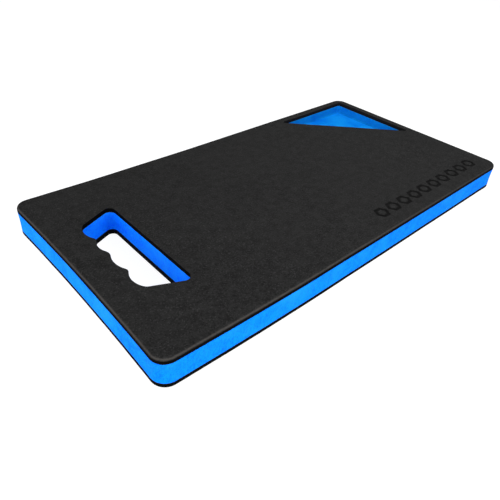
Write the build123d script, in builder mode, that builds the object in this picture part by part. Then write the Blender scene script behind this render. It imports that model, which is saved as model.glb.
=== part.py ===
"""Kneeling pad: a thick foam core between two foam cover sheets, glued face to face.

Frame: +Z up, origin at the centre of the underside. +X runs along the pad, from the hand
opening to the corner pocket. +Y runs across it, towards the pocket.
"""

from build123d import *

import os

# Pad body (mm)
length = 480
width = 250
cover_thickness = 5
core_layer = 20  # from cover to cover, glue films included
glue_thickness = 0.2
corner_radius = 13
top_edge_radius = 3  # outer edge of the top cover
bottom_edge_radius = 2  # outer edge of the bottom cover

# Hand opening, through every layer near the -X end
grip_bar = 30  # foam left between the end of the pad and the finger grooves
opening_width = 41.5
straight_side = 137  # before its corners are rounded
finger_count = 4
finger_pitch = 26.5
groove_depth = 4.8
straight_corner_radius = 6
groove_corner_radius = 8
groove_crest_radius = 4
middle_crest_radius = 9  # the crest in the middle is blunter than the others
middle_crest_shift = 2.5  # towards +Y

# Triangular pocket in the +X +Y corner, open at the top
pocket_leg = 121.5
pocket_margin = 9.5  # foam left between the pocket and each edge of the pad
pocket_depth = 15  # from the top face
pocket_corner_radius = 3
pocket_tip_radius = 3

# Row of hexagonal rings pressed into the top face, along the -Y edge
ring_count = 10
ring_pitch = 19.2
ring_radius = 9  # to a corner of the outer hexagon
ring_hub_radius = 4.2
ring_depth = 0.8
ring_row_centre = (122, -102)

# Heights of the layers
thickness = 2 * cover_thickness + core_layer
core_bottom = cover_thickness + glue_thickness
top_cover_bottom = thickness - cover_thickness
core_top = top_cover_bottom - glue_thickness

# Corners of the hand opening
groove_x = -length / 2 + grip_bar
crest_x = groove_x + groove_depth
straight_x = groove_x + opening_width
crests = [(crest_x, finger_pitch * (i - finger_count / 2)) for i in range(finger_count + 1)]
middle_crest = (crest_x, middle_crest_shift)
crests[finger_count // 2] = middle_crest
straight_corners = [(straight_x, straight_side / 2), (straight_x, -straight_side / 2)]

# Corners of the pocket
pocket_corner = (length / 2 - pocket_margin, width / 2 - pocket_margin)
pocket_tips = [
    (pocket_corner[0] - pocket_leg, pocket_corner[1]),
    (pocket_corner[0], pocket_corner[1] - pocket_leg),
]


def round_corners(sketch, corners, radius):
    """Fillet the sketch's vertices that lie at the given corners."""
    for corner in corners:
        fillet(sketch.vertices().sort_by_distance(corner)[0], radius)


with BuildSketch() as outline:
    RectangleRounded(length, width, corner_radius)

# The opening tapers from its straight side to a row of finger grooves.
with BuildSketch() as opening:
    with BuildLine():
        for low, high in zip(crests, crests[1:]):
            groove_bottom = (groove_x, (low[1] + high[1]) / 2)
            ThreePointArc(low, groove_bottom, high)
        Polyline(crests[-1], *straight_corners, crests[0])
    make_face()
    round_corners(opening, [middle_crest], middle_crest_radius)
    round_corners(opening, [crests[1], crests[-2]], groove_crest_radius)
    round_corners(opening, [crests[0], crests[-1]], groove_corner_radius)
    round_corners(opening, straight_corners, straight_corner_radius)

with BuildSketch() as pocket:
    with BuildLine():
        Polyline(pocket_corner, *pocket_tips, close=True)
    make_face()
    round_corners(pocket, [pocket_corner], pocket_corner_radius)
    round_corners(pocket, pocket_tips, pocket_tip_radius)

with BuildPart() as bottom_cover:
    with BuildSketch():
        add(outline.sketch)
        add(opening.sketch, mode=Mode.SUBTRACT)
    extrude(amount=cover_thickness)
    underside = bottom_cover.faces().sort_by(Axis.Z)[0]
    fillet(underside.outer_wire().edges(), bottom_edge_radius)

with BuildPart() as bottom_glue:
    with BuildSketch(Plane.XY.offset(cover_thickness)):
        add(outline.sketch)
        add(opening.sketch, mode=Mode.SUBTRACT)
    extrude(amount=glue_thickness)

with BuildPart() as core:
    with BuildSketch(Plane.XY.offset(core_bottom)):
        add(outline.sketch)
        add(opening.sketch, mode=Mode.SUBTRACT)
    extrude(amount=core_top - core_bottom)
    with BuildSketch(Plane.XY.offset(thickness - pocket_depth)):
        add(pocket.sketch)
    extrude(amount=pocket_depth, mode=Mode.SUBTRACT)

with BuildPart() as top_glue:
    with BuildSketch(Plane.XY.offset(core_top)):
        add(outline.sketch)
        add(opening.sketch, mode=Mode.SUBTRACT)
        add(pocket.sketch, mode=Mode.SUBTRACT)
    extrude(amount=glue_thickness)

with BuildPart() as top_cover:
    with BuildSketch(Plane.XY.offset(top_cover_bottom)):
        add(outline.sketch)
        add(opening.sketch, mode=Mode.SUBTRACT)
        add(pocket.sketch, mode=Mode.SUBTRACT)
    extrude(amount=cover_thickness)
    top_face = top_cover.faces().sort_by(Axis.Z)[-1]
    fillet(top_face.outer_wire().edges(), top_edge_radius)
    with BuildSketch(Plane.XY.offset(thickness)):
        with Locations(ring_row_centre):
            with GridLocations(ring_pitch, 0, ring_count, 1):
                RegularPolygon(ring_radius, 6)
                RegularPolygon(ring_hub_radius, 6, mode=Mode.SUBTRACT)
    extrude(amount=-ring_depth, mode=Mode.SUBTRACT)

pieces = {
    "bottom_cover": bottom_cover,
    "bottom_glue": bottom_glue,
    "core": core,
    "top_glue": top_glue,
    "top_cover": top_cover,
}

os.makedirs("parts", exist_ok=True)
for name, piece in pieces.items():
    piece.part.label = name
    export_step(piece.part, f"parts/{name}.step")
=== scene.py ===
"""Looks of the kneeling pad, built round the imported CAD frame.

Each foam sheet and glue film is a closed mesh that stands for one CAD node. Its walls are lofted
from the outlines of the frame's own flat faces, and its faces are triangulated between them.
Lengths are in metres.
"""
import math

import bmesh
import bpy
import numpy as np
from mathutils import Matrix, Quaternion, Vector, noise
from mathutils.geometry import delaunay_2d_cdt
from mathutils.kdtree import KDTree


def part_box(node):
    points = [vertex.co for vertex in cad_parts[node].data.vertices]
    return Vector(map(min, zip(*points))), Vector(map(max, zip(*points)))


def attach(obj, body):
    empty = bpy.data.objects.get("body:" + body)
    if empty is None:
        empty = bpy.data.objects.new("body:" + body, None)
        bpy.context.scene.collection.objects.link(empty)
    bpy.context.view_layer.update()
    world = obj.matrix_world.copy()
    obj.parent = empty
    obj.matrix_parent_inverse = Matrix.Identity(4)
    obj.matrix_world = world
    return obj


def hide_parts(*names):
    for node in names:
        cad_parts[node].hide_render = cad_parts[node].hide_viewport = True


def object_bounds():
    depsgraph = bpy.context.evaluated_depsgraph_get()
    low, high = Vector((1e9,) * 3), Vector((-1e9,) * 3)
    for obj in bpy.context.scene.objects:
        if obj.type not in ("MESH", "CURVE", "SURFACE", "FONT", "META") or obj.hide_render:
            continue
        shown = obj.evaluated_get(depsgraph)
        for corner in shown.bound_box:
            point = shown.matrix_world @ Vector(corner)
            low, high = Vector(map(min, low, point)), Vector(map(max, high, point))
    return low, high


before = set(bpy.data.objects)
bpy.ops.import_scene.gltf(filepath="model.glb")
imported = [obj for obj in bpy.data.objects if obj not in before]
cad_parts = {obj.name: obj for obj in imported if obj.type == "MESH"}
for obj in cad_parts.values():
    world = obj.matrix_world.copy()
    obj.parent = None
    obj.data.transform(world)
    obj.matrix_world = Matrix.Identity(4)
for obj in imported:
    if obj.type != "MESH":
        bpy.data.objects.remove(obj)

MM = 0.001
cad_low, cad_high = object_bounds()
half_length, half_width = cad_high.x, cad_high.y
random = np.random.default_rng(7)

# Spacing of mesh points
skin_step = 1.7 * MM  # on the kneeling face and the floor of the pocket
underside_step = skin_step * 1.4
hidden_step = 9 * MM  # on a face that is glued to another
wall_step = 1.6 * MM
cut_step = 1.0 * MM  # round the hand opening and the pocket
arc_rings = 11  # rings of points round a quarter turn
jitter = 0.12  # how far a point on a face strays, as a share of the step
clearance = 0.65  # how close it may come to a rim or a line, as a share of the step
bevel_lines = (0, 0.3, 0.7, 1)  # lines down the side of a pressed ring, as shares of its width
bevel_steps = 8  # points along each straight stretch of such a line

# How close two things are taken as one
same_height = 0.01 * MM
same_corner = 0.001 * MM
same_spot = 1e-8

# Edges
seam_radius = 0.35 * MM  # where two layers meet
cut_radius = 0.7 * MM  # where the hand opening was cut through the skin
rim_radius = 1.3 * MM  # where the pocket was cut through it
floor_fillet = 1.2 * MM  # round the floor of the pocket
edge_lead = 0.6 * MM  # flat ring between an edge and the face it borders
glue_inset = 0.3 * MM  # how far the glue stops short of the foam's sides
press_bevel = 0.7 * MM  # width of the sloping sides of the pressed rings
crest_sharpness = 10  # how narrow the painted highlight, with some wear, along an edge is

# How the foam lies and how even it is
grip_lift, grip_lean = 1.73 * MM, 1.25 * MM  # rise of the grip end, and what its front adds
pocket_lift, pocket_lean = 1.4 * MM, 0.9 * MM  # rise of the pocket end, and what its back adds
grip_bow = 2.3 * MM  # how far the middle of the grip end is drawn in
grip_skew = 0.35 * MM  # and its +Y end
grip_cant = 0.8 * MM  # and its top, against its bottom
cant_height = 0.6  # where the cant draws nothing in, as a share of the thickness
bow_start = 0.7  # where these three begin, as a share of the half length
taper = 1.1 * MM  # how far the front edge is cut in towards the pocket end
taper_start = -0.1  # as a share of the half length
bulge = 0.65 * MM  # how far the front edge swells out between the grip end and the middle
bulge_start, bulge_end = -0.82, -0.18  # as shares of the half length; it draws in before that
swell = 1.5 * MM  # how far the back edge swells out on its pocket half
swell_start, swell_end = -0.17, 0.96  # as shares of the half length
flare = 1.7 * MM  # how far the back edge runs out at the grip end
flare_start = 0.68  # where that begins, as a share of the half length
back_strip = 0.92  # where the foam that both move begins, as a share of the half width
lip = 0.6 * MM  # how far the bottom cover reaches into the hand opening
waist = 0.25 * MM  # how far the core's cut walls hollow between the covers
skin_waves = ((60 * MM, 0.12 * MM), (14 * MM, 0.05 * MM), (4 * MM, 0.03 * MM))  # length, height
wall_waves = ((35 * MM, 0.18 * MM), (7 * MM, 0.05 * MM))

# Camera
camera_place = Vector((-0.3395, -0.3044, 0.2843))
camera_target = Vector((-0.0952, -0.0525, 0.015))
camera_roll = math.radians(3.74)
camera_lens, camera_sensor = 34.7, 36  # mm

# Floor
floor_reach = 60  # from its middle to each side
floor_gap = 0.05 * MM  # how far it lies below the frame's origin


# ---------------------------------------------------------------- outlines from the frame

def flat_outlines(node, height):
    """Closed outlines of a node's upward faces at one height, longest first, faces on their left."""
    mesh = bmesh.new()
    mesh.from_mesh(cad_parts[node].data)
    bmesh.ops.remove_doubles(mesh, verts=mesh.verts, dist=same_corner)
    flat = {f for f in mesh.faces if all(abs(v.co.z - height) < same_height for v in f.verts)}
    ahead = {}
    for face in flat:
        for loop in face.loops:
            if sum(f in flat for f in loop.edge.link_faces) == 1:
                ahead[loop.vert] = loop.link_loop_next.vert
    outlines = []
    while ahead:
        corner = min(ahead, key=lambda v: (round(v.co.x, 6), v.co.y))
        outline = []
        while corner in ahead:
            outline.append(corner.co.xy)
            corner = ahead.pop(corner)
        outlines.append(np.array(outline))
    mesh.free()
    return sorted(outlines, key=lambda o: -np.ptp(o, axis=0).sum())


def lowest_floor(node):
    """Height of a node's lowest upward face."""
    return min(p.center.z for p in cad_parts[node].data.polygons if p.normal.z > 0.999)


def rounding(node, height):
    """Radius of a node's outer edge, from how far its face at that height stops short of its side."""
    places = [v.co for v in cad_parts[node].data.vertices]
    return half_length - max(place.x for place in places if abs(place.z - height) < same_height)


def smooth_loop(corners, step):
    """Points about a step apart on a smooth closed curve through the corners."""
    ahead = np.roll(corners, -1, axis=0)
    slopes = ahead - np.roll(corners, 1, axis=0)
    slopes /= np.linalg.norm(slopes, axis=1)[:, None]
    points = []
    for a, b, slope_a, slope_b in zip(corners, ahead, slopes, np.roll(slopes, -1, axis=0)):
        reach = np.linalg.norm(b - a)
        t = np.linspace(0, 1, max(1, round(reach / step)), endpoint=False)[:, None]
        from_a = (1 + 2 * t) * a + t * reach * slope_a
        from_b = (3 - 2 * t) * b + (t - 1) * reach * slope_b
        points.append((1 - t) ** 2 * from_a + t**2 * from_b)
    return np.concatenate(points)


def left_of(along):
    """Unit normals to the left of some directions."""
    return np.column_stack([-along[:, 1], along[:, 0]]) / np.linalg.norm(along, axis=1)[:, None]


def inside(points, loops):
    """Which points lie inside an odd number of the loops."""
    x, y = points.T
    odd = np.zeros(len(points), bool)
    for loop in loops:
        for (ax, ay), (bx, by) in zip(loop, np.roll(loop, -1, axis=0)):
            if ay != by:
                odd ^= ((ay > y) != (by > y)) & (x < ax + (y - ay) * (bx - ax) / (by - ay))
    return odd


def scattered(loops, lines, step):
    """Points about a step apart in the area between the loops, clear of them and of the lines."""
    low, high = loops[0].min(axis=0), loops[0].max(axis=0)
    rows = []
    for i, y in enumerate(np.arange(low[1], high[1], step * math.sqrt(3) / 2)):
        across = np.arange(low[0] + i % 2 * step / 2, high[0], step)
        rows.append(np.column_stack([across, np.full(len(across), y)]))
    spots = np.concatenate(rows)
    spots += random.uniform(-jitter, jitter, spots.shape) * step
    fixed = np.concatenate([*loops, *lines])
    tree = KDTree(len(fixed))
    for i, (x, y) in enumerate(fixed):
        tree.insert((x, y, 0), i)
    tree.balance()
    clear = np.array([tree.find((x, y, 0))[2] > clearance * step for x, y in spots])
    return spots[clear & inside(spots, loops)]


# ---------------------------------------------------------------- relief

def smooth_step(x):
    """From 0 to 1 as x goes from 0 to 1, level at both ends."""
    x = np.clip(x, 0, 1)
    return x * x * (3 - 2 * x)


def ripple(points, waves):
    """Sum of smooth noises, one for each (wavelength, height), at 3-D points."""
    total = np.zeros(len(points))
    for wavelength, height in waves:
        total += height * np.array([noise.noise(place) for place in points / wavelength])
    return total


def settle(points):
    """The pad at rest: its middle lies on the floor and its ends curl up a little."""
    x, y, z = (points / (half_length, half_width, cad_high.z)).T
    grip_rise = grip_lift - grip_lean * y
    pocket_rise = pocket_lift + pocket_lean * y
    settled = points.copy()
    settled[:, 2] += np.where(x < 0, grip_rise, pocket_rise) * x**2
    drawn_in = grip_bow * (1 - y**2) + grip_skew * y + grip_cant * (z - cant_height)
    settled[:, 0] += drawn_in * np.clip((-x - bow_start) / (1 - bow_start), 0, 1)
    along_bulge = np.minimum((x - bulge_start) / (bulge_end - bulge_start), 1)
    cut_in = taper * np.clip(x - taper_start, 0, 1) - bulge * np.sin(math.pi * along_bulge)
    settled[:, 1] += cut_in * (1 - y) / 2
    along_swell = np.clip((x - swell_start) / (swell_end - swell_start), 0, 1)
    along_flare = np.clip((-x - flare_start) / (1 - flare_start), 0, 1)
    run_out = swell * np.sin(math.pi * along_swell) + flare * along_flare
    settled[:, 1] += run_out * smooth_step((y - back_strip) / (1 - back_strip))
    return settled


class Pressing:
    """The pattern pressed into the top cover, from the frame's outlines of its floors."""

    def __init__(self, node):
        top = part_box(node)[1].z
        floor = lowest_floor(node)
        self.depth = top - floor
        self.outlines = flat_outlines(node, floor)

    def shares(self, points):
        """How far into the pattern each point is, from 0 outside it to 1 on its floor."""
        within, beyond = np.zeros(len(points)), np.ones(len(points))
        for outline in self.outlines:
            along = np.roll(outline, -1, axis=0) - outline
            depths = np.einsum("pek,ek->pe", points[:, None] - outline, left_of(along))
            if self.surrounds(outline):
                within = np.maximum(within, smooth_step(depths.min(axis=1) / press_bevel))
            else:
                beyond = np.minimum(beyond, smooth_step(depths.max(axis=1) / press_bevel))
        return within * beyond

    def surrounds(self, outline):
        """Whether an outline has its floor inside it, and not round it."""
        x, y = (outline - outline.mean(axis=0)).T
        return np.sum(x * np.roll(y, -1) - np.roll(x, -1) * y) > 0

    def lines(self):
        """Closed lines down the pattern's sloping sides, for the mesh to follow."""
        lines = []
        for outline in self.outlines:
            centre = outline.mean(axis=0)
            middle = (outline[0] + outline[1]) / 2
            towards = 1 if self.surrounds(outline) else -1
            for share in bevel_lines:
                scale = 1 - towards * share * press_bevel / np.linalg.norm(middle - centre)
                corners = centre + (outline - centre) * scale
                steps = np.linspace(0, 1, bevel_steps, endpoint=False)[:, None]
                sides = zip(corners, np.roll(corners, -1, axis=0))
                lines.append(np.concatenate([a + (b - a) * steps for a, b in sides]))
        return lines


# ---------------------------------------------------------------- closed foam meshes

quarter = math.pi / 2


def turn(radius, start, end):
    """Rows of (inset, drop, share) round an edge; share is 0 at its face and 1 at its wall."""
    angles = np.linspace(start, end, arc_rings)
    return [(radius * (1 - math.sin(t)), radius * (1 - math.cos(t)), t / quarter) for t in angles]


def wall_rings(top, bottom, top_radius, bottom_radius, hollow=0.0, wear_and_highlight=(0, 0)):
    """Rings of a wall with rounded edges, from its top face down: (inset, height, crest, cut).

    crest is highest along the middle of an edge, where it marks a painted highlight with some wear,
    and the last argument holds how high, for the top edge and the bottom one. cut is 1 where the
    foam's inside shows. The skin reaches half way round the top edge and a quarter of the way round
    the bottom one before it gives way to that.
    """
    top_wear_and_highlight, bottom_wear_and_highlight = wear_and_highlight
    rings = [(top_radius + edge_lead, top, 0, 0)]
    for inset, drop, share in turn(top_radius, 0, quarter):
        crest = top_wear_and_highlight * math.sin(share * math.pi) ** crest_sharpness
        rings.append((inset, top - drop, crest, smooth_step(share * 2 - 1)))
    high, low = top - top_radius, bottom + bottom_radius
    for share in np.linspace(0, 1, max(3, round((high - low) / wall_step) + 1))[1:-1]:
        rings.append((hollow * 4 * share * (1 - share), high + (low - high) * share, 0, 1))
    for inset, drop, share in turn(bottom_radius, quarter, 0):
        crest = bottom_wear_and_highlight * math.sin(share * math.pi) ** crest_sharpness
        rings.append((inset, bottom + drop, crest, smooth_step(share * 4 - 1)))
    rings.append((bottom_radius + edge_lead, bottom, 0, 0))
    return rings


def recess_rings(top, floor):
    """Rings of a recess's wall, from the face it is cut in to the hollow corner round its floor."""
    rings = [(seam_radius + edge_lead, top, 0, 1)]
    rings += [(inset, top - drop, 0, 1) for inset, drop, _ in turn(seam_radius, 0, quarter)]
    high, low = top - seam_radius, floor + floor_fillet
    for share in np.linspace(0, 1, round((high - low) / wall_step) + 1)[1:-1]:
        rings.append((0, high + (low - high) * share, 0, 1))
    for inset, drop, _ in turn(floor_fillet, quarter, 0):
        rings.append((-inset, floor + drop, 0, 1))
    return rings


class Foam:
    """One closed piece, gathered wall by wall and face by face.

    Each point keeps three looks for the materials: crest, for a painted highlight with some wear
    along an edge, cut, how far the foam's inside shows, and a third, how far it is into the pressed
    pattern or the pocket, where the materials paint the black paler and the blue in shade.
    """

    def __init__(self):
        self.points, self.looks, self.faces = np.empty((0, 3)), np.empty((0, 3)), []

    def add(self, points, looks):
        """Adds points with their three look values, and returns their numbers."""
        first = len(self.points)
        self.points = np.concatenate([self.points, points])
        self.looks = np.concatenate([self.looks, looks])
        return np.arange(first, len(self.points))

    def wall(self, loop, rings, pressed_and_pocket_shading=0.0):
        """A wall round a loop that has the foam on its left; returns its first and last ring."""
        inward = left_of(np.roll(loop, -1, axis=0) - np.roll(loop, 1, axis=0))
        ids = []
        for inset, height, crest, cut in rings:
            level = np.column_stack([loop, np.full(len(loop), height)])
            drift = inset + cut * ripple(level, wall_waves)
            level[:, :2] += inward * drift[:, None]
            ids.append(self.add(level, np.tile([crest, cut, cut * pressed_and_pocket_shading], (len(loop), 1))))
        for upper, lower in zip(ids, ids[1:]):
            self.faces.extend(zip(lower, np.roll(lower, -1), np.roll(upper, -1), upper))
        return ids[0], ids[-1]

    def face(self, rims, height, step, up=True, cut=0.0, pressed_and_pocket_shading=0.0, pressing=None):
        """Triangles between rims of points that have the face on their left, seen from above.

        They look down if up is false. A pattern is pressed into them if one is given.
        """
        rim_ids = np.concatenate(rims)
        rim_numbers = np.concatenate([np.full(len(rim), i) for i, rim in enumerate(rims)])
        loops = [self.points[rim, :2] for rim in rims]
        lines = pressing.lines() if pressing else []
        edges, first = [], 0
        for loop in [*loops, *lines]:
            edges += [(first + i, first + (i + 1) % len(loop)) for i in range(len(loop))]
            first += len(loop)
        given = np.concatenate([*loops, *lines, scattered(loops, lines, step)])
        spots, _, triangles, sources, _, _ = delaunay_2d_cdt(
            [Vector(spot) for spot in given], edges, [], 0, same_spot
        )
        spots, triangles = np.array(spots), np.array(triangles)
        rim_places = np.full(len(spots), -1)
        for spot, merged in enumerate(sources):
            for source in merged:
                if source < len(rim_ids):
                    rim_places[spot] = source
        fresh = rim_places < 0
        shares = pressing.shares(spots[fresh]) if pressing else np.full(fresh.sum(), pressed_and_pocket_shading)
        heights = height - shares * (pressing.depth if pressing else 0)
        looks = np.column_stack([np.zeros(len(shares)), np.full(len(shares), cut), shares])
        ids = rim_ids[rim_places]
        ids[fresh] = self.add(np.column_stack([spots[fresh], heights]), looks)
        # A triangle that joins points of one rim and turns against it lies outside the face.
        corners = rim_places[triangles]
        one_rim = (corners.min(axis=1) >= 0) & (np.ptp(rim_numbers[corners], axis=1) == 0)
        against_rim = (corners > np.roll(corners, -1, axis=1)).sum(axis=1) == 2
        kept = ~(one_rim & against_rim)
        turned = triangles[kept] if up else triangles[kept, ::-1]
        self.faces.extend(ids[turned].tolist())

    def rise(self, low, high, waves, lift=0.0):
        """Ripples the points, most at the height high and not at all at the height low."""
        share = np.clip((self.points[:, 2] - low) / (high - low), 0, 1)
        flat = self.points * (1, 1, 0)
        self.points[:, 2] += share * (lift + ripple(flat, waves))

    def piece(self, name, node, skin, inner=None):
        """The finished object, in its place at rest, standing for its CAD node.

        Its faces have the skin material, or the inner one where the foam was cut.
        """
        mesh = bpy.data.meshes.new(name)
        faces = [tuple(map(int, face)) for face in self.faces]
        mesh.from_pydata(settle(self.points).tolist(), [], faces)
        for look, values in zip(("crest", "cut", "pressed_and_pocket_shading"), self.looks.T):
            attribute = mesh.attributes.new(look, "FLOAT", "POINT")
            attribute.data.foreach_set("value", values.astype(np.float32))
        mesh.shade_smooth()
        mesh.materials.append(skin)
        if inner:
            mesh.materials.append(inner)
            cut = self.looks[:, 1] > 0.5
            slots = [int(all(cut[i] for i in face)) for face in self.faces]
            mesh.polygons.foreach_set("material_index", slots)
        made = bpy.data.objects.new(name, mesh)
        bpy.context.scene.collection.objects.link(made)
        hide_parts(node)
        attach(made, "root")
        return made


# ---------------------------------------------------------------- materials

class Shading:
    """A node material, built on one Principled shader."""

    def __init__(self, name):
        self.material = bpy.data.materials.new(name)
        self.material.use_nodes = True
        self.tree = self.material.node_tree
        self.shader = self.tree.nodes["Principled BSDF"]
        self.place = self.node("ShaderNodeTexCoord").outputs["Object"]

    def node(self, kind, inputs=(), **settings):
        """A node with its settings made and its inputs set to values or joined to sockets."""
        made = self.tree.nodes.new(kind)
        for name, value in settings.items():
            setattr(made, name, value)
        for name, value in dict(inputs).items():
            self.feed(made.inputs[name], value)
        return made

    def feed(self, socket, value):
        """Joins an input to a socket, or sets it to a value."""
        if isinstance(value, bpy.types.NodeSocket):
            self.tree.links.new(value, socket)
        else:
            socket.default_value = value

    def maths(self, operation, first, second=0.0):
        return self.node("ShaderNodeMath", {0: first, 1: second}, operation=operation).outputs[0]

    def noise(self, size, detail=2.0, rough=0.5, place=None):
        """Noise whose lumps are about that size."""
        inputs = {
            "Vector": place or self.place,
            "Scale": 1 / size,
            "Detail": detail,
            "Roughness": rough,
        }
        return self.node("ShaderNodeTexNoise", inputs).outputs["Fac"]

    def cells(self, size):
        """Distance from the middle of the nearest foam cell; the cells are about that size."""
        inputs = {"Vector": self.place, "Scale": 1 / size}
        return self.node("ShaderNodeTexVoronoi", inputs).outputs["Distance"]

    def spread(self, value, low, high, to_low=0.0, to_high=1.0):
        """A value's range from low to high, mapped smoothly to another."""
        inputs = {"Value": value, 1: low, 2: high, 3: to_low, 4: to_high}
        return self.node("ShaderNodeMapRange", inputs, interpolation_type="SMOOTHSTEP").outputs[0]

    def blend(self, share, first, second):
        """From the first colour to the second as share goes from 0 to 1."""
        inputs = {0: share, 6: first, 7: second}
        return self.node("ShaderNodeMix", inputs, data_type="RGBA").outputs[2]

    def look(self, name):
        """A value that the mesh keeps at its points."""
        return self.node("ShaderNodeAttribute", attribute_name=name).outputs["Fac"]

    def streaks(self, across, along, slant):
        """The place scaled so that a pattern makes streaks of that size, that far from upright."""
        inputs = {
            "Vector": self.place,
            "Rotation": (slant, slant, 0),
            "Scale": (across, across, along),
        }
        return self.node("ShaderNodeMapping", inputs, vector_type="TEXTURE").outputs[0]

    def finish(self, colour, roughness, height, depth, specular):
        """Joins colour, roughness and a bump of that depth, with one specular level all over."""
        self.feed(self.shader.inputs["Base Color"], colour)
        self.feed(self.shader.inputs["Roughness"], roughness)
        bump = self.node("ShaderNodeBump", {"Height": height, "Distance": depth, "Strength": 1.0})
        self.feed(self.shader.inputs["Normal"], bump.outputs[0])
        self.shader.inputs["Specular IOR Level"].default_value = specular
        return self.material


def grey(level):
    return (level, level, level, 1)


# Colours; a pair is the darker and the paler of what a pattern blends
SKIN_BLACKS = (grey(0.006), grey(0.0196))
TONE_BLACK, PIT_BLACK, SPECK_BLACK = grey(0.015), grey(0.0016), grey(0.037)
PRESSED_BLACK = grey(0.001)
CUT_BLACK = grey(0.001)
POCKET_LIT_BLACK = grey(0.01)  # painted light: the cut black made paler where the pocket was cut
# Painted highlight with some wear along the foam's edges: a paler, warm black.
WORN_HIGHLIT_BLACK = (0.043, 0.04, 0.038, 1)
CELL_BLACKS = (grey(0.0004), grey(0.0012))
BLUES = ((0.0, 0.112, 0.96, 1), (0.002, 0.212, 0.99, 1))
HAZE_BLUE = (0.01, 0.255, 0.98, 1)
# Painted shade in the pocket: the blue foam darker on its floor and darker still on its walls.
POCKET_FLOOR_SHADED_BLUES = ((0.0, 0.22, 0.86, 1), (0.004, 0.34, 0.98, 1))
POCKET_WALL_SHADED_BLUES = ((0.0, 0.156, 0.56, 1), (0.003, 0.218, 0.61, 1))
GLUE_BROWNS = ((0.03, 0.027, 0.02, 1), (0.075, 0.065, 0.045, 1))
PAPER_GREYS = (grey(0.19), grey(0.21))

cell_size = 0.9 * MM  # of the open cells in cut foam
blade_slant = math.radians(28)
grip_highlight, pocket_highlight = 1.2, 0.45  # how strong the painted edge highlight is at each end, strongest at the grip end near the lamps
pocket_floor_shade_level = 0.5  # third look on the pocket's floor, which paints it in shade; its walls get 1 and a darker painted shade


def black_skin():
    """Grained skin of a closed-cell foam sheet, with a painted highlight and some wear along its
    edges, strongest at the grip end.
    """
    s = Shading("black_skin")
    grain = s.noise(1.9 * MM, detail=3.0, rough=0.6)
    blotch = s.noise(7 * MM, detail=2.0)
    tone = s.noise(50 * MM, detail=3.0)
    pits = s.spread(s.cells(2.6 * MM), 0.12, 0.32, 1.0, 0.0)
    specks = s.spread(s.noise(1.2 * MM, detail=0.0), 0.66, 0.74)
    speckle = s.maths("ADD", s.maths("MULTIPLY", grain, 0.7), s.maths("MULTIPLY", blotch, 0.3))
    colour = s.blend(s.spread(speckle, 0.34, 0.66), *SKIN_BLACKS)
    colour = s.blend(s.spread(tone, 0.35, 0.7, 0.0, 0.3), colour, TONE_BLACK)
    colour = s.blend(s.maths("MULTIPLY", pits, 0.6), colour, PIT_BLACK)
    colour = s.blend(s.maths("MULTIPLY", specks, 0.6), colour, SPECK_BLACK)
    # The rim of the pocket is marked both as pocket and as cut, and the pattern only as pressed.
    in_pattern = s.maths("SUBTRACT", s.look("pressed_and_pocket_shading"), s.look("cut"))
    colour = s.blend(s.maths("MULTIPLY", in_pattern, 0.9), colour, PRESSED_BLACK)
    # Painted light: the cut black is paler in the pocket.
    cut_colour = s.blend(s.look("pressed_and_pocket_shading"), CUT_BLACK, POCKET_LIT_BLACK)
    colour = s.blend(s.look("cut"), colour, cut_colour)
    # The painted edge highlight fades from the grip end, near the lamps, towards the pocket end.
    along = s.node("ShaderNodeSeparateXYZ", {"Vector": s.place}).outputs["X"]
    highlight_falloff = s.spread(along, -half_length, half_length, grip_highlight, pocket_highlight)
    # Painted highlight with some wear along the edges, broken up by the grain.
    wear_and_highlight = s.maths("MULTIPLY", s.look("crest"), s.spread(grain, 0.25, 0.6, 0.5, 1.0))
    colour = s.blend(s.maths("MULTIPLY", wear_and_highlight, highlight_falloff), colour, WORN_HIGHLIT_BLACK)
    skin = s.maths("SUBTRACT", speckle, s.maths("MULTIPLY", pits, 0.35))
    height = s.maths("MULTIPLY", skin, s.spread(s.look("pressed_and_pocket_shading"), 0.0, 1.0, 1.0, 0.35))
    return s.finish(colour, s.spread(grain, 0.3, 0.7, 0.75, 0.9), height, 0.4 * MM, specular=0.1)


def black_cut():
    """Inside of the black sheet where the blade went through: small open cells, nearly black."""
    s = Shading("black_cut")
    cells = s.spread(s.cells(cell_size), 0.1, 0.55)
    colour = s.blend(cells, *CELL_BLACKS)
    # Painted light: paler in the pocket.
    colour = s.blend(s.maths("MULTIPLY", s.look("pressed_and_pocket_shading"), 0.9), colour, POCKET_LIT_BLACK)
    # Painted highlight with some wear along the edges.
    wear_and_highlight = s.maths("MULTIPLY", s.look("crest"), 0.7)
    colour = s.blend(wear_and_highlight, colour, WORN_HIGHLIT_BLACK)
    return s.finish(colour, s.spread(cells, 0.0, 1.0, 0.85, 0.95), cells, 0.2 * MM, specular=0.03)


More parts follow.
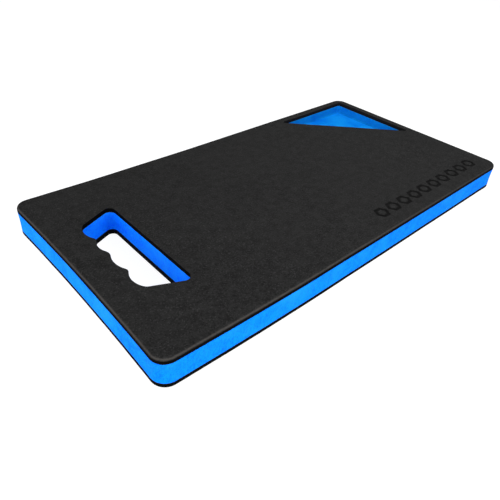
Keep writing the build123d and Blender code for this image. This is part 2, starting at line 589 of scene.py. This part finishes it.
def blue_foam():
    """Cut closed-cell foam: small open cells, and faint slanting drag lines of the blade."""
    s = Shading("blue_foam")
    cells = s.spread(s.cells(cell_size), 0.1, 0.55)
    grain = s.noise(2.4 * MM, detail=3.0)
    drag = s.noise(1.0, detail=2.0, place=s.streaks(1.6 * MM, 22 * MM, blade_slant))
    blotch = s.noise(9 * MM, detail=3.0, rough=0.6)
    shade = s.maths("ADD", s.maths("MULTIPLY", cells, 0.15), s.maths("MULTIPLY", grain, 0.25))
    shade = s.maths("ADD", shade, s.maths("MULTIPLY", drag, 0.3))
    shade = s.maths("ADD", shade, s.maths("MULTIPLY", blotch, 0.3))
    colour = s.blend(s.spread(shade, 0.36, 0.64), *BLUES)
    haze = s.spread(s.noise(28 * MM, detail=2.0), 0.42, 0.68, 0.0, 0.5)
    colour = s.blend(haze, colour, HAZE_BLUE)
    # Painted shade in the pocket, mottled: darker on the floor, darker still on the walls.
    pocket_blotch = s.maths("MULTIPLY", s.noise(26 * MM, detail=3.0, rough=0.4), 0.6)
    pocket_mottle = s.spread(s.maths("ADD", pocket_blotch, s.maths("MULTIPLY", shade, 0.4)), 0.4, 0.6)
    pocket_floor_shade = s.spread(s.look("pressed_and_pocket_shading"), 0.0, pocket_floor_shade_level, 0.0, 0.85)
    colour = s.blend(pocket_floor_shade, colour, s.blend(pocket_mottle, *POCKET_FLOOR_SHADED_BLUES))
    pocket_wall_shade = s.spread(s.look("pressed_and_pocket_shading"), pocket_floor_shade_level, 1.0, 0.0, 0.85)
    colour = s.blend(pocket_wall_shade, colour, s.blend(pocket_mottle, *POCKET_WALL_SHADED_BLUES))
    height = s.maths("ADD", s.maths("MULTIPLY", cells, 0.6), s.maths("MULTIPLY", drag, 0.4))
    return s.finish(colour, s.spread(grain, 0.3, 0.7, 0.8, 0.95), height, 0.25 * MM, specular=0.03)


def glue():
    """Dried contact adhesive, uneven where it was squeezed out."""
    s = Shading("glue")
    smear = s.noise(2.5 * MM, detail=3.0)
    colour = s.blend(smear, *GLUE_BROWNS)
    return s.finish(colour, s.spread(smear, 0.3, 0.7, 0.35, 0.6), smear, 0.2 * MM, specular=0.5)


# ---------------------------------------------------------------- pieces

def make_top_cover(skin, inner):
    low, high = (corner.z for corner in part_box("top_cover"))
    # The edges get a painted highlight with some wear: full on the outer edge and the pocket's rim,
    # fainter round the hand opening.
    outer = wall_rings(high, low, rounding("top_cover", high), seam_radius, wear_and_highlight=(1, 0))
    cut = wall_rings(high, low, cut_radius, seam_radius, wear_and_highlight=(0.3, 0))
    rim = wall_rings(high, low, rim_radius, seam_radius, wear_and_highlight=(1, 0))
    foam = Foam()
    # The pocket's wall is marked so that its cut black is painted paler.
    walls = [foam.wall(outline, outer), foam.wall(opening, cut), foam.wall(pocket, rim, pressed_and_pocket_shading=1.0)]
    foam.face([upper for upper, _ in walls], high, skin_step, pressing=Pressing("top_cover"))
    foam.face([lower for _, lower in walls], low, hidden_step, up=False)
    foam.rise(low, high, skin_waves)
    return foam.piece("top_cover_foam", "top_cover", skin, inner)


def make_core(material):
    low, high = (corner.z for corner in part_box("core"))
    floor = lowest_floor("core")
    rings = wall_rings(high, low, seam_radius, seam_radius, hollow=waist)
    foam = Foam()
    walls = [foam.wall(outline, rings), foam.wall(opening, rings)]
    # The pocket's walls and floor are marked for the painted shade of the blue foam.
    recess_top, recess_floor = foam.wall(pocket, recess_rings(high, floor), pressed_and_pocket_shading=1.0)
    foam.face([*(upper for upper, _ in walls), recess_top], high, hidden_step, cut=1.0)
    foam.face([lower for _, lower in walls], low, hidden_step, up=False, cut=1.0)
    foam.face([recess_floor[::-1]], floor, skin_step, cut=1.0, pressed_and_pocket_shading=pocket_floor_shade_level)
    return foam.piece("core_foam", "core", material)


def make_bottom_cover(skin, inner):
    low, high = (corner.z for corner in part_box("bottom_cover"))
    # Its bottom outer edge gets a faint painted highlight with some wear.
    outer = wall_rings(high, low, seam_radius, rounding("bottom_cover", low), wear_and_highlight=(0, 0.15))
    cut = [(inset - lip, *rest) for inset, *rest in wall_rings(high, low, seam_radius, seam_radius)]
    foam = Foam()
    walls = [foam.wall(outline, outer), foam.wall(opening, cut)]
    foam.face([upper for upper, _ in walls], high, hidden_step)
    foam.face([lower for _, lower in walls], low, underside_step, up=False)
    # The underside is lifted by the most that its ripples fall, so that it stays above the floor.
    foam.rise(high, low, skin_waves, lift=sum(height for _, height in skin_waves))
    return foam.piece("bottom_cover_foam", "bottom_cover", skin, inner)


def make_glue_film(node, loops, material):
    low, high = (corner.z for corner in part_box(node))
    film = Foam()
    walls = [film.wall(loop, [(glue_inset, high, 0, 1), (glue_inset, low, 0, 1)]) for loop in loops]
    film.face([upper for upper, _ in walls], high, hidden_step)
    film.face([lower for _, lower in walls], low, hidden_step, up=False)
    made = film.piece(f"{node}_film", node, material)
    return made


# ---------------------------------------------------------------- studio

def make_floor():
    """Plain pale paper that glows a little, so that it shows as white as in the photograph."""
    floor = bpy.data.objects.new("floor", bpy.data.meshes.new("floor"))
    signs = [(-1, -1), (1, -1), (1, 1), (-1, 1)]
    corners = [(x * floor_reach, y * floor_reach, -floor_gap) for x, y in signs]
    floor.data.from_pydata(corners, [], [(0, 1, 2, 3)])
    s = Shading("floor")
    s.shader.inputs["Emission Color"].default_value = (1, 1, 1, 1)
    s.shader.inputs["Emission Strength"].default_value = 0.94
    s.material.cycles.emission_sampling = "NONE"
    paper = s.blend(s.noise(0.4, detail=1.0), *PAPER_GREYS)
    floor.data.materials.append(s.finish(paper, 0.9, s.noise(2 * MM), 0.01 * MM, specular=0.0))
    bpy.context.scene.collection.objects.link(floor)


def make_light(name, place, size, power):
    """A square soft light that shines at the pad."""
    light = bpy.data.lights.new(name, "AREA")
    light.size, light.energy = size, power
    made = bpy.data.objects.new(name, light)
    made.location = place
    made.rotation_euler = (-Vector(place)).to_track_quat("-Z", "Y").to_euler()
    bpy.context.scene.collection.objects.link(made)


def make_camera():
    camera = bpy.data.objects.new("camera", bpy.data.cameras.new("camera"))
    camera.data.lens, camera.data.sensor_width = camera_lens, camera_sensor
    camera.location = camera_place
    level = (camera_target - camera_place).to_track_quat("-Z", "Y")
    camera.rotation_mode = "QUATERNION"
    camera.rotation_quaternion = level @ Quaternion((0, 0, 1), camera_roll)
    bpy.context.scene.collection.objects.link(camera)
    bpy.context.scene.camera = camera


def make_sky(horizon, zenith, blend_end):
    """White surroundings that fade from the horizon to overhead."""
    world = bpy.data.worlds.new("studio")
    world.use_nodes = True
    tree = world.node_tree
    height = tree.nodes.new("ShaderNodeSeparateXYZ")
    tree.links.new(tree.nodes.new("ShaderNodeTexCoord").outputs["Generated"], height.inputs[0])
    fade = tree.nodes.new("ShaderNodeMapRange")
    fade.interpolation_type = "SMOOTHSTEP"
    for name, value in (("From Max", blend_end), ("To Min", horizon), ("To Max", zenith)):
        fade.inputs[name].default_value = value
    tree.links.new(height.outputs["Z"], fade.inputs["Value"])
    tree.nodes["Background"].inputs["Color"].default_value = (1, 1, 1, 1)
    tree.links.new(fade.outputs[0], tree.nodes["Background"].inputs["Strength"])
    bpy.context.scene.world = world


# ---------------------------------------------------------------- the scene

glue_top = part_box("top_glue")[1].z
outline, pocket, opening = flat_outlines("top_glue", glue_top)
outline = smooth_loop(outline, wall_step)
pocket, opening = smooth_loop(pocket, cut_step), smooth_loop(opening, cut_step)

skin, inner = black_skin(), black_cut()
for cover in (make_top_cover(skin, inner), make_bottom_cover(skin, inner)):
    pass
core = make_core(blue_foam())
adhesive = glue()
make_glue_film("top_glue", [outline, pocket, opening], adhesive)
make_glue_film("bottom_glue", [outline, opening], adhesive)

make_floor()
make_sky(horizon=1.0, zenith=0.25, blend_end=0.55)
make_light("left", (-0.8, 0.0, 0.32), size=0.5, power=4.7)
make_light("front", (-0.24, -0.55, 0.05), size=0.1, power=1.45)
make_light("top", (0.12, -0.28, 0.5), size=0.5, power=2.5)
make_light("back", (0.8, 0.7, 0.7), size=1.0, power=2.6)
make_camera()
bpy.context.scene.view_settings.view_transform = "Standard"
